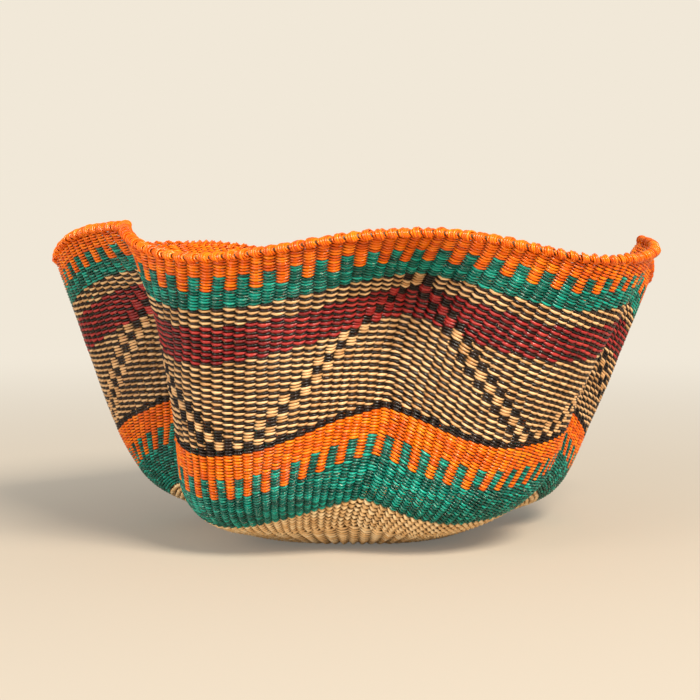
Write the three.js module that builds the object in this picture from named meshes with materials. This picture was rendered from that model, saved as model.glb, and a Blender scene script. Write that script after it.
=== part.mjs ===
// A wave-rimmed bolga basket: a five-lobed bowl of twined grass weft over radial stakes, with a
// flat straw base, dyed bands up the wall and a wrapped rim. Millimetres and degrees, +Z up.
// The bowl stands on its base with the base centre at the origin and its front fold facing -Y.
import * as THREE from "three";

// Driving dimensions of the weave. Arc lengths run along a stake from the base centre.
const rowHeight = 2.15;
const wallThickness = 6.4;
const baseReach = 144.5;
const flatReach = 70;
const crossingRadius = 24;
const seamGap = 0.3;

// Driving dimensions of a stake and of its tunnel through the weft
const stakeWidth = 3.4;
const stakeThickness = 2;
const tunnelClearance = 0.3;

// Driving dimensions of the rim, a bundle of grass ends under a wrapping
const rimCoreHeight = 2.2;
const rimCoreBevel = 0.8;
const rimWrapThickness = 1;
const rimWrapBevel = 1.4;
const rimWrapLap = 2.2;
const rimClearance = 0.3;
const rimSeatGap = 1;

// Counts
const lobeCount = 5;
const facetsPerLobe = 12;
const stakesPerLobe = 4;
const footSteps = 4;
const facetCount = lobeCount * facetsPerLobe;
const facetsPerStake = facetsPerLobe / stakesPerLobe;

// How many times the search for a ring's pitch halves its range
const halvings = 50;

// The dyed bands from the base up: rows of weft, and steps of the model along the stake
const bands = [
  { name: "green_lower_weft", rows: 15, steps: 2, colour: 0x0a7a5c },
  { name: "toothed_lower_weft", rows: 7, steps: 1, colour: 0x7a7134 },
  { name: "orange_lower_weft", rows: 8, steps: 1, colour: 0xe8680c },
  { name: "black_line_weft", rows: 2, steps: 1, colour: 0x241a16 },
  { name: "striped_main_weft", rows: 28, steps: 3, colour: 0x8f7355 },
  { name: "burgundy_weft", rows: 12, steps: 1, colour: 0x8c2328 },
  { name: "striped_upper_weft", rows: 6, steps: 1, colour: 0x8f7355 },
  { name: "green_upper_weft", rows: 6, steps: 1, colour: 0x0a7a5c },
  { name: "toothed_upper_weft", rows: 5, steps: 1, colour: 0x7a7134 },
  { name: "orange_upper_weft", rows: 6, steps: 1, colour: 0xe8680c },
];
const strawColour = 0xe0bd8c;
const stakeColour = 0xc9a878;
const rimColour = 0xe8680c;

const wallRows = bands.reduce((sum, band) => sum + band.rows, 0);
const stakeLength = baseReach + wallRows * rowHeight;

// The wall's slope up from the ground at stations along a stake, down the middle of a lobe and
// down a fold. The first station ends the flat base; the rest are shares of the stake above it.
const stationShares = [0, 0.09, 0.18, 0.27, 0.38, 0.51, 0.65, 0.81, 1];
const lobeAngles = [0, 16, 13, 23, 59, 74, 72, 70, 65];
const foldAngles = [0, 29, 42, 50, 92, 95, 90, 46, 49];

// What is made by hand is uneven: each fold and lobe leans out by a few degrees more or less at
// three heights, and a lobe's lowest column lies a little to one side. Fold 0 is the front fold,
// lobe 0 is on its right, and both run on to the right round the basket.
const leanShares = [0.29, 0.43, 0.66, 0.98];
const foldLeanAngles = [[0, 5, 4, -5], [0, -14, -13, 7], [0, -16, 10, -10], [0, -16, 10, -10], [0, 13, -5, 2]];
const lobeLeanAngles = [[0, 12, -9, 0], [0, -14, -14, -3], [0, 5, -5, 3], [0, 2, -10, 9], [0, 1, 12, -1]];
const sideShares = [0.29, 0.98];
const lobeSideShares = [[-0.09, 0.07], [-0.03, -0.19], [0, 0], [-0.14, 0.05], [-0.08, -0.02]];

// The power that makes the folds narrow low down and wider at the rim
const foldPowerShares = [0.62, 0.73];

// The stakes swing round the basket as they climb: the turn of the front fold from the -Y side
const swingShares = [0, 0.35, 0.58, 0.81, 1];
const swingAngles = [0, 0, 9, 16, 18];

const radians = THREE.MathUtils.degToRad;
const lerp = THREE.MathUtils.lerp;

// The value at a place between the stations of a table
function readTable(stations, values, place) {
  const last = stations.length - 1;
  if (place <= stations[0]) return values[0];
  for (let i = 1; i <= last; i++) {
    if (place > stations[i]) continue;
    const part = (place - stations[i - 1]) / (stations[i] - stations[i - 1]);
    return lerp(values[i - 1], values[i], part);
  }
  return values[last];
}

// The value between one fold or lobe and the next, for a place counted in lobes round the ring
function readRing(values, place) {
  const wrapped = (place + lobeCount) % lobeCount;
  const index = Math.floor(wrapped);
  return lerp(values[index], values[(index + 1) % lobeCount], wrapped - index);
}

// How far a column belongs to its lobe, from 0 at a fold to 1 at the lobe's lowest column
function lobeWeight(place, share) {
  const lobe = Math.floor(place) % lobeCount;
  const part = place - Math.floor(place);
  const middle = 1 / 2 + readTable(sideShares, lobeSideShares[lobe], share);
  const phase = part < middle ? part / middle : (1 - part) / (1 - middle);
  const power = readTable(sideShares, foldPowerShares, share);
  return ((1 - Math.cos(Math.PI * phase)) / 2) ** power;
}

// The slope of the wall in radians at a facet column and an arc length
function slopeAt(facet, arc) {
  const place = facet / facetsPerLobe;
  const share = arc / stakeLength;
  const raised = (arc - flatReach) / (stakeLength - flatReach);
  if (raised <= 0) return 0;
  const weight = lobeWeight(place, share);
  const leansAt = (table) => table.map((leans) => readTable(leanShares, leans, share));
  const foldLean = readRing(leansAt(foldLeanAngles), place);
  const lobeLean = readRing(leansAt(lobeLeanAngles), place - 1 / 2);
  const fold = readTable(stationShares, foldAngles, raised) + foldLean;
  const lobe = readTable(stationShares, lobeAngles, raised) + lobeLean;
  return radians(lerp(fold, lobe, weight));
}

// The turns between neighbouring columns of one ring, all columns being equally far apart
function turnsOf(radii, heights) {
  const squares = radii.map((radius, i) => {
    const next = (i + 1) % facetCount;
    return (radii[next] - radius) ** 2 + (heights[next] - heights[i]) ** 2;
  });
  const turnsAt = (pitch) =>
    squares.map((square, i) => {
      const mean = (radii[i] + radii[(i + 1) % facetCount]) / 2;
      return Math.sqrt(Math.max(pitch ** 2 - square, 0)) / mean;
    });
  let low = 0;
  let high = 2 * Math.PI * Math.max(...radii);
  for (let i = 0; i < halvings; i++) {
    const pitch = (low + high) / 2;
    const whole = turnsAt(pitch).reduce((sum, turn) => sum + turn, 0);
    if (whole > 2 * Math.PI) high = pitch;
    else low = pitch;
  }
  return turnsAt(high);
}

// The middle surface of the wall: a ring of points at every row of weft from the centre out
function buildRings() {
  const steps = Math.round(stakeLength / rowHeight);
  const arcStep = stakeLength / steps;
  const radii = new Array(facetCount).fill(0);
  const heights = new Array(facetCount).fill(wallThickness / 2);
  const rings = [];
  for (let step = 0; step < steps; step++) {
    for (let facet = 0; facet < facetCount; facet++) {
      const slope = slopeAt(facet, (step + 1 / 2) * arcStep);
      radii[facet] += arcStep * Math.cos(slope);
      heights[facet] += arcStep * Math.sin(slope);
    }
    let azimuth = radians(readTable(swingShares, swingAngles, (step + 1) / steps));
    const turns = turnsOf(radii, heights);
    rings.push(
      turns.map((turn, facet) => {
        const across = radii[facet] * Math.sin(azimuth);
        const back = -radii[facet] * Math.cos(azimuth);
        azimuth += turn;
        return new THREE.Vector3(across, back, heights[facet]);
      }),
    );
  }
  return { rings, arcStep };
}
const wall = buildRings();

// A point of the middle surface at a column and an arc length. A column may lie between two
// facet edges, and the arc length may pass the rim.
function wallPoint(column, arc) {
  const left = Math.floor(column);
  const corner = (ring, edge) => wall.rings[ring][(edge + facetCount) % facetCount];
  const place = Math.max(arc / wall.arcStep - 1, 0);
  const ring = Math.min(Math.floor(place), wall.rings.length - 2);
  const low = corner(ring, left).clone().lerp(corner(ring, left + 1), column - left);
  const high = corner(ring + 1, left).clone().lerp(corner(ring + 1, left + 1), column - left);
  return low.lerp(high, place - ring);
}

// The local frame of the wall: its point, the way out, the way round and the way up the stake,
// and the mitre, by which an offset grows so that the facets beside a bend keep their thickness
function wallFrame(column, arc) {
  const inside = THREE.MathUtils.clamp(arc, 2 * rowHeight, stakeLength - rowHeight);
  const here = wallPoint(column, inside);
  const up = wallPoint(column, inside + rowHeight).sub(wallPoint(column, inside - rowHeight)).normalize();
  const nextOut = wallPoint(Math.floor(column + 1), inside).sub(here).cross(up).normalize();
  const backOut = here.clone().sub(wallPoint(Math.ceil(column - 1), inside)).cross(up).normalize();
  const out = nextOut.clone().add(backOut).normalize();
  return { at: wallPoint(column, arc), out, round: up.clone().cross(out), up, mitre: 1 / out.dot(nextOut) };
}

// A point beside the wall's middle surface, moved out, round and up in its local frame
function offset(frame, out, round, up) {
  return frame.at
    .clone()
    .addScaledVector(frame.out, out)
    .addScaledVector(frame.round, round)
    .addScaledVector(frame.up, up);
}

// Adds four corners to an index as two triangles. Both ways round they share one diagonal, so
// that two faces with the same corners lie evenly against each other.
function addQuad(index, a, b, c, d, isReversed = false) {
  if (isReversed) index.push(a, d, c, a, c, b);
  else index.push(a, b, c, a, c, d);
}

function toGeometry(points, index) {
  const geometry = new THREE.BufferGeometry().setFromPoints(points);
  geometry.setIndex(index);
  return geometry;
}

// A closed solid through sections of equally many points, which run clockwise as seen from the
// next section: round a ring, or capped at both ends. The flipped sides are split along their
// other diagonal, to match the facets they lie against.
function loft(sections, isRing, flippedSides = []) {
  const size = sections[0].length;
  const index = [];
  const joins = isRing ? sections.length : sections.length - 1;
  for (let i = 0; i < joins; i++) {
    const here = i * size;
    const next = ((i + 1) % sections.length) * size;
    for (let j = 0; j < size; j++) {
      const k = (j + 1) % size;
      if (flippedSides.includes(j)) addQuad(index, here + k, here + j, next + j, next + k);
      else addQuad(index, here + j, next + j, next + k, here + k);
    }
  }
  if (!isRing) {
    const last = (sections.length - 1) * size;
    for (let j = 1; j < size - 1; j++) {
      index.push(0, j, j + 1);
      index.push(last, last + j + 1, last + j);
    }
  }
  return toGeometry(sections.flat(), index);
}

const facets = Array.from({ length: facetCount }, (_, facet) => facet);

// The stakes lie down the middle of every few facets
const isStakeFacet = (facet) => facet % facetsPerStake === 1;
const stakeColumns = facets.filter(isStakeFacet).map((facet) => facet + 1 / 2);

// The corners of a stake's section or, with its clearance, of the tunnel round it
function stakeCorners(column, arc, clearance) {
  const frame = wallFrame(column, arc);
  const out = stakeThickness / 2 + clearance;
  const round = stakeWidth / 2 + clearance;
  return [
    offset(frame, out, -round, 0),
    offset(frame, -out, -round, 0),
    offset(frame, -out, round, 0),
    offset(frame, out, round, 0),
  ];
}

// A ring of weft through the given arc lengths, as thick as the wall, with a tunnel for each stake
function weftRing(arcs) {
  const half = wallThickness / 2;
  const points = arcs.flatMap((arc) => {
    const frames = facets.map((facet) => wallFrame(facet, arc));
    const outer = frames.map((frame) => offset(frame, half * frame.mitre, 0, 0));
    const inner = frames.map((frame) => offset(frame, -half * frame.mitre, 0, 0));
    const tunnels = stakeColumns.map((column) => stakeCorners(column, arc, tunnelClearance));
    return [...outer, ...inner, ...tunnels.flat()];
  });
  const stationSize = points.length / arcs.length;
  const lastStation = stationSize * (arcs.length - 1);
  const index = [];
  for (const facet of facets) {
    const next = (facet + 1) % facetCount;
    const cell = [facet, facetCount + facet, facetCount + next, next];
    for (let low = 0; low < lastStation; low += stationSize) {
      const high = low + stationSize;
      addQuad(index, low + cell[0], low + cell[3], high + cell[3], high + cell[0]);
      addQuad(index, low + cell[2], low + cell[1], high + cell[1], high + cell[2]);
    }
    if (isStakeFacet(facet)) {
      const stake = (facet - 1) / facetsPerStake;
      const tunnel = cell.map((_, corner) => 2 * facetCount + cell.length * stake + corner);
      addTunnel(index, cell, tunnel, stationSize, lastStation);
    } else {
      addQuad(index, cell[0], cell[3], cell[2], cell[1], true);
      addQuad(index, ...[cell[0], cell[3], cell[2], cell[1]].map((corner) => lastStation + corner));
    }
  }
  return toGeometry(points, index);
}

// The walls of one tunnel through a cell of a weft ring, and the ring's two ends round its mouths
function addTunnel(index, cell, tunnel, stationSize, lastStation) {
  cell.forEach((_, corner) => {
    const next = (corner + 1) % cell.length;
    const side = [tunnel[corner], tunnel[next]];
    for (let low = 0; low < lastStation; low += stationSize) {
      const high = low + stationSize;
      addQuad(index, low + side[0], high + side[0], high + side[1], low + side[1], true);
    }
    const mouth = [cell[corner], tunnel[corner], tunnel[next], cell[next]];
    addQuad(index, ...mouth, true);
    addQuad(index, ...mouth.map((point) => lastStation + point));
  });
}

// A stake: a flat strip up its column
function stakeStrip(column, arcs) {
  return loft(arcs.map((arc) => stakeCorners(column, arc, 0)), false);
}

// A ring along the top of the wall, with the same section at every column
function rimRing(outline, flippedSides) {
  const sections = facets.map((facet) => {
    const frame = wallFrame(facet, stakeLength);
    return outline.map(([out, up]) => offset(frame, out * frame.mitre, 0, up));
  });
  return loft(sections, true, flippedSides);
}

const basket = new THREE.Group();

function addPiece(name, geometry, colour) {
  const material = new THREE.MeshStandardMaterial({ color: colour, roughness: 0.6, metalness: 0 });
  const mesh = new THREE.Mesh(geometry, material);
  mesh.name = name;
  basket.add(mesh);
}

// Arc lengths from one end of a stretch to the other, in equal steps
const arcsBetween = (from, to, steps) =>
  Array.from({ length: steps + 1 }, (_, i) => lerp(from, to, i / steps));

// The undyed weft from the crossing out: the flat base, then two rings of the foot, which rises
// to the dyed bands
const stakeStart = crossingRadius + seamGap;
const footBends = arcsBetween(flatReach, baseReach, footSteps);
const strawRings = [
  { name: "base_straw_weft", arcs: [stakeStart, flatReach] },
  { name: "foot_lower_straw_weft", arcs: footBends.slice(0, footSteps / 2 + 1) },
  { name: "foot_upper_straw_weft", arcs: footBends.slice(footSteps / 2) },
];

// Arc lengths where the wall bends: the base, then each band from its seam to the next
const bandBends = [];
for (const band of bands) {
  const start = bandBends.length ? bandBends.at(-1).at(-1) : baseReach;
  bandBends.push(arcsBetween(start, start + band.rows * rowHeight, band.steps));
}
const bends = [stakeStart, ...footBends, ...bandBends.flatMap((arcs) => arcs.slice(1))];

// The same arc lengths with half a seam's gap taken off one end
const cutLow = (arcs) => [arcs[0] + seamGap / 2, ...arcs.slice(1)];
const cutHigh = (arcs) => [...arcs.slice(0, -1), arcs.at(-1) - seamGap / 2];

// The crossing, where the stakes lie over each other at the middle of the base
function crossingDisc() {
  const sides = stakeColumns.length;
  const disc = new THREE.CylinderGeometry(crossingRadius, crossingRadius, wallThickness, sides);
  disc.rotateX(Math.PI / 2);
  disc.translate(0, 0, wallThickness / 2);
  return disc;
}
addPiece("base_crossing", crossingDisc(), strawColour);
strawRings.forEach((ring, i) => {
  addPiece(ring.name, weftRing(cutHigh(i > 0 ? cutLow(ring.arcs) : ring.arcs)), strawColour);
});
bands.forEach((band, i) => {
  const arcs = cutLow(bandBends[i]);
  addPiece(band.name, weftRing(i < bands.length - 1 ? cutHigh(arcs) : arcs), band.colour);
});

// The stakes end under the bundle that runs round the rim, low enough to clear it at a fold's peak
const stakeEnd = stakeLength - stakeWidth / 2;
const stakeArcs = [...bends.slice(0, -1), stakeEnd];
stakeColumns.forEach((column, i) => {
  const name = "stake_" + String(i + 1).padStart(2, "0");
  addPiece(name, stakeStrip(column, stakeArcs), stakeColour);
});

// The rim's bundle lies on the wall, and its wrapping laps over both sides of the top rows
const coreHalf = wallThickness / 2;
const coreLow = rimSeatGap;
const coreHigh = coreLow + rimCoreHeight;
const coreOutline = [
  [coreHalf, coreLow],
  [coreHalf, coreHigh - rimCoreBevel],
  [coreHalf - rimCoreBevel, coreHigh],
  [rimCoreBevel - coreHalf, coreHigh],
  [-coreHalf, coreHigh - rimCoreBevel],
  [-coreHalf, coreLow],
];
const wrapInside = coreHalf + rimClearance;
const wrapHalf = wrapInside + rimWrapThickness;
const wrapCeiling = coreHigh + rimClearance;
const wrapHigh = wrapCeiling + rimWrapThickness;
const wrapOutline = [
  [wrapHalf, -rimWrapLap],
  [wrapHalf, wrapHigh - rimWrapBevel],
  [wrapHalf - rimWrapBevel, wrapHigh],
  [rimWrapBevel - wrapHalf, wrapHigh],
  [-wrapHalf, wrapHigh - rimWrapBevel],
  [-wrapHalf, -rimWrapLap],
  [-wrapInside, -rimWrapLap],
  [-wrapInside, wrapCeiling],
  [wrapInside, wrapCeiling],
  [wrapInside, -rimWrapLap],
];
const coreUnderside = coreOutline.length - 1;
const wrapInnerSides = [6, 7, 8];
addPiece("rim_core", rimRing(coreOutline, [coreUnderside]), stakeColour);
addPiece("rim_wrap", rimRing(wrapOutline, wrapInnerSides), rimColour);

export default basket;
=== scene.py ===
"""A wave-rimmed bolga basket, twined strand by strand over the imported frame.

Every row of weft is two rolled strands of elephant grass that pass in front of and behind the
stakes by turns. Lengths are in millimetres and angles in degrees until a mesh is finished.
"""

import logging
import math
from dataclasses import dataclass, field
from enum import IntEnum

import bmesh
import bpy
import numpy as np
from mathutils import Matrix, Vector

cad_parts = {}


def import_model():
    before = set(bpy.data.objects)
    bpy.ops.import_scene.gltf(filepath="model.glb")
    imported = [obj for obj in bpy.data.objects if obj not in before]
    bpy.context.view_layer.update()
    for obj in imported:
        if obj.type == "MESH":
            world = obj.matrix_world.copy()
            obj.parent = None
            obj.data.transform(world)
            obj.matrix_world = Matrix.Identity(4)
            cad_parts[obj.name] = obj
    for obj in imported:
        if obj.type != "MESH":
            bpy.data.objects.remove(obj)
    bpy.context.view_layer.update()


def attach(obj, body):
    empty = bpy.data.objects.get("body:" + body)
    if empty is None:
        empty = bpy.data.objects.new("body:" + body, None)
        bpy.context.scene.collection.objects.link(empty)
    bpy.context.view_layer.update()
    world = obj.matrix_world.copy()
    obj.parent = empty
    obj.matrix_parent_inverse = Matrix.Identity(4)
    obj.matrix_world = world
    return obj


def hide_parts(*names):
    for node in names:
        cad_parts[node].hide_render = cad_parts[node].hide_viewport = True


LOG = logging.getLogger("bolga_basket")

METRES_PER_MM = 0.001
BODY = "root"
STAKE_COUNT = 160
LOBE_COUNT = 5
STAKES_PER_LOBE = STAKE_COUNT // LOBE_COUNT
STRAND_LETTERS = "ab"
SEED = 7
TURN = 2 * math.pi


class Dye(IntEnum):
    """The dyes of the grass, in the order of the finishes."""

    ORANGE = 0
    GREEN = 1
    BURGUNDY = 2
    BLACK = 3
    STRAW = 4


def linear_colour(code: str) -> tuple[float, float, float, float]:
    """Turns an sRGB hex colour into a linear one.

    Args:
        code: Six hex digits.

    Returns:
        Red, green, blue and an alpha of one.
    """
    parts = [int(code[i : i + 2], 16) / 255 for i in (0, 2, 4)]
    line = [c / 12.92 if c <= 0.04045 else ((c + 0.055) / 1.055) ** 2.4 for c in parts]
    return (line[0], line[1], line[2], 1.0)


def add_node(tree: bpy.types.NodeTree, kind: str, settings: dict, links: dict) -> bpy.types.Node:
    """Adds a shader node with its settings and what feeds it.

    Args:
        tree: The node tree of a material or world.
        kind: The node's type name.
        settings: Values by attribute name, or by the name or number of an input.
        links: Output sockets by the name or number of the input that they feed.

    Returns:
        The new node.
    """
    node = tree.nodes.new(kind)
    for key, value in settings.items():
        if isinstance(key, str) and hasattr(node, key):
            setattr(node, key, value)
        else:
            node.inputs[key].default_value = value
    for key, socket in links.items():
        tree.links.new(socket, node.inputs[key])
    return node


def read_table(stations: tuple, values: tuple, places: np.ndarray) -> np.ndarray:
    """Reads a table between its stations, for many places at once."""
    return np.interp(places, stations, values)


def read_ring(values: list | np.ndarray, places: np.ndarray) -> np.ndarray:
    """Reads values that stand at the whole places of a closed ring."""
    return np.interp(places, np.arange(len(values) + 1), [*values, values[0]])


@dataclass(frozen=True)
class WallShape:
    """The sizes and slopes of the wall's middle surface, the same as the solids have.

    A lobe is where the wall stands out, a fold where it is drawn in between two lobes. The tables
    were fitted to places marked on the photograph, and rounded: the slopes up from the
    ground along a lobe and along a fold, at shares of the way from the flat to the rim; how much
    steeper each of the five folds and lobes is than those; how far aside each lobe's middle lies,
    in lobes; how sharp the folds are, where less is sharper; and how far the stakes swing round.
    """

    row_height: float = 2.15
    wall_thickness: float = 6.4
    base_reach: float = 144.5
    flat_reach: float = 70.0
    wall_rows: int = 95
    station_shares: tuple = (0, 0.09, 0.18, 0.27, 0.38, 0.51, 0.65, 0.81, 1)
    lobe_angles: tuple = (0, 16, 13, 23, 59, 74, 72, 70, 65)
    fold_angles: tuple = (0, 29, 42, 50, 92, 95, 90, 46, 49)
    lean_shares: tuple = (0.29, 0.43, 0.66, 0.98)
    fold_lean_angles: tuple = (
        (0, 5, 4, -5),
        (0, -14, -13, 7),
        (0, -16, 10, -10),
        (0, -16, 10, -10),
        (0, 13, -5, 2),
    )
    lobe_lean_angles: tuple = (
        (0, 12, -9, 0),
        (0, -14, -14, -3),
        (0, 5, -5, 3),
        (0, 2, -10, 9),
        (0, 1, 12, -1),
    )
    side_shares: tuple = (0.29, 0.98)
    lobe_side_shares: tuple = ((-0.09, 0.07), (-0.03, -0.19), (0, 0), (-0.14, 0.05), (-0.08, -0.02))
    fold_power_shares: tuple = (0.62, 0.73)
    swing_shares: tuple = (0, 0.35, 0.58, 0.81, 1)
    swing_angles: tuple = (0, 0, 9, 16, 18)

    @property
    def stake_length(self) -> float:
        """The length of a stake from the base's centre to the rim."""
        return self.base_reach + self.wall_rows * self.row_height

    def lobe_weights(self, places: np.ndarray, share: float) -> np.ndarray:
        """Says how far columns belong to their lobe at one share of the stake.

        Args:
            places: Columns counted in lobes round the ring.
            share: The share of the stake's length.

        Returns:
            Weights from 0 at a fold to 1 at a lobe's lowest column.
        """
        lobes = np.floor(places).astype(int) % LOBE_COUNT
        asides = [read_table(self.side_shares, pair, share) for pair in self.lobe_side_shares]
        sides = np.array(asides)
        middle = 0.5 + sides[lobes]
        part = places - np.floor(places)
        phase = np.where(part < middle, part / middle, (1 - part) / (1 - middle))
        power = read_table(self.side_shares, self.fold_power_shares, share)
        return ((1 - np.cos(math.pi * phase)) / 2) ** power

    def slopes(self, places: np.ndarray, arc: float) -> np.ndarray:
        """Works out the wall's slope up from the ground at one arc length.

        Args:
            places: Columns counted in lobes round the ring.
            arc: The arc length along a stake.

        Returns:
            Slopes in radians.
        """
        raised = (arc - self.flat_reach) / (self.stake_length - self.flat_reach)
        if raised <= 0:
            return np.zeros_like(places)
        share = arc / self.stake_length
        weight = self.lobe_weights(places, share)
        leans = []
        for table, shift in ((self.fold_lean_angles, 0.0), (self.lobe_lean_angles, 0.5)):
            values = [float(read_table(self.lean_shares, row, share)) for row in table]
            leans.append(read_ring(values, (places - shift) % LOBE_COUNT))
        fold = read_table(self.station_shares, self.fold_angles, raised) + leans[0]
        lobe = read_table(self.station_shares, self.lobe_angles, raised) + leans[1]
        return np.radians(fold + (lobe - fold) * weight)


class Wall:
    """The middle surface as a fine grid that places and frames are read from."""

    COLUMN_PARTS = 4
    HALVINGS = 60

    def __init__(self, shape: WallShape) -> None:
        """Builds the rings from the base's centre out to the rim.

        Args:
            shape: The sizes and slopes of the wall.
        """
        self.shape = shape
        steps = round(shape.stake_length / shape.row_height)
        self.arc_step = shape.stake_length / steps
        places = np.arange(STAKE_COUNT) / STAKES_PER_LOBE
        middles = [(step + 0.5) * self.arc_step for step in range(steps)]
        slopes = np.array([shape.slopes(places, arc) for arc in middles])
        radii = np.cumsum(self.arc_step * np.cos(slopes), axis=0)
        heights = shape.wall_thickness / 2 + np.cumsum(self.arc_step * np.sin(slopes), axis=0)
        shares = np.arange(1, steps + 1) / steps
        start = np.radians(read_table(shape.swing_shares, shape.swing_angles, shares))
        turns = self._turns(radii, heights)
        azimuths = start[:, None] + np.cumsum(turns, axis=1) - turns
        rings = np.stack([radii * np.sin(azimuths), -radii * np.cos(azimuths), heights], axis=2)
        self.grid = self._refine(rings)

    def _turns(self, radii: np.ndarray, heights: np.ndarray) -> np.ndarray:
        """Finds the turns between columns that make all of a ring's columns equally far apart.

        The distance is found by halving the span in which it must lie.

        Args:
            radii: The radius of each ring and column.
            heights: The height of each ring and column.

        Returns:
            Turns in radians, which add up to one whole turn on each ring.
        """
        squares = (np.roll(radii, -1, 1) - radii) ** 2 + (np.roll(heights, -1, 1) - heights) ** 2
        mean = (np.roll(radii, -1, 1) + radii) / 2
        low = np.zeros((len(radii), 1))
        high = TURN * radii.max(axis=1, keepdims=True)
        for _ in range(self.HALVINGS):
            pitch = (low + high) / 2
            turns = np.sqrt(np.maximum(pitch**2 - squares, 0)) / mean
            is_wide = turns.sum(axis=1, keepdims=True) > TURN
            low, high = np.where(is_wide, low, pitch), np.where(is_wide, pitch, high)
        return np.sqrt(np.maximum(high**2 - squares, 0)) / mean

    def _refine(self, rings: np.ndarray) -> np.ndarray:
        """Adds rounded columns between the stakes' columns, by a smooth cubic through all of them.

        Args:
            rings: The points of each ring at the stakes.

        Returns:
            The points of each ring at every part of a column.
        """
        before, after, later = (np.roll(rings, -shift, 1) for shift in (-1, 1, 2))
        fine = np.empty((len(rings), STAKE_COUNT * self.COLUMN_PARTS, 3))
        for part in range(self.COLUMN_PARTS):
            t = part / self.COLUMN_PARTS
            weights = (
                (-t + 2 * t**2 - t**3) / 2,
                (2 - 5 * t**2 + 3 * t**3) / 2,
                (t + 4 * t**2 - 3 * t**3) / 2,
                (t**3 - t**2) / 2,
            )
            parts = zip(weights, (before, rings, after, later))
            fine[:, part :: self.COLUMN_PARTS] = sum(w * p for w, p in parts)
        return fine

    def points(self, columns: np.ndarray, arcs: np.ndarray) -> np.ndarray:
        """Reads points of the middle surface.

        Args:
            columns: Columns counted in stakes, which may lie between two stakes.
            arcs: Arc lengths, which may pass the rim.

        Returns:
            One point for each pair.
        """
        across = (columns % STAKE_COUNT) * self.COLUMN_PARTS
        left = np.floor(across).astype(int) % self.grid.shape[1]
        right = (left + 1) % self.grid.shape[1]
        part = (across - np.floor(across))[..., None]
        up = np.asarray(arcs) / self.arc_step - 1
        low = np.clip(np.floor(up).astype(int), 0, len(self.grid) - 2)
        rise = (up - low)[..., None]
        lower = self.grid[low, left] * (1 - part) + self.grid[low, right] * part
        upper = self.grid[low + 1, left] * (1 - part) + self.grid[low + 1, right] * part
        return lower + (upper - lower) * rise

    def frames(self, columns: np.ndarray, arcs: np.ndarray) -> tuple[np.ndarray, ...]:
        """Reads the local frames of the wall.

        Args:
            columns: Columns counted in stakes.
            arcs: Arc lengths along a stake.

        Returns:
            The point, the way out, the way round and the way up the stake, for each pair.
        """
        row = self.shape.row_height
        inside = np.clip(arcs, 2 * row, self.shape.stake_length - row)
        part = 1 / self.COLUMN_PARTS
        up = unit(self.points(columns, inside + row) - self.points(columns, inside - row))
        round_ = self.points(columns + part, inside) - self.points(columns - part, inside)
        out = unit(np.cross(round_, up))
        return self.points(columns, arcs), out, np.cross(up, out), up


def unit(vectors: np.ndarray) -> np.ndarray:
    """Scales vectors to a length of one."""
    return vectors / np.linalg.norm(vectors, axis=-1, keepdims=True)


@dataclass(frozen=True)
class Band:
    """One colour band of the weft, with its rows here and its height in rows of the solid."""

    node: str
    slot: str
    rows: int
    solid_rows: int


# From the rim down. The main striped band has one row more than its solid is high, and its rows
# are a little lower for it.
BANDS = (
    Band("orange_upper_weft", "orange_grass", 6, 6),
    Band("toothed_upper_weft", "toothed_grass", 5, 5),
    Band("green_upper_weft", "green_grass", 6, 6),
    Band("striped_upper_weft", "striped_grass", 6, 6),
    Band("burgundy_weft", "burgundy_grass", 12, 12),
    Band("striped_main_weft", "striped_grass", 29, 28),
    Band("black_line_weft", "black_grass", 2, 2),
    Band("orange_lower_weft", "orange_grass", 8, 8),
    Band("toothed_lower_weft", "toothed_grass", 7, 7),
    Band("green_lower_weft", "green_grass", 15, 15),
)

PLAIN_BANDS = {
    "orange_upper_weft": Dye.ORANGE,
    "green_upper_weft": Dye.GREEN,
    "black_line_weft": Dye.BLACK,
    "orange_lower_weft": Dye.ORANGE,
    "green_lower_weft": Dye.GREEN,
}


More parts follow.
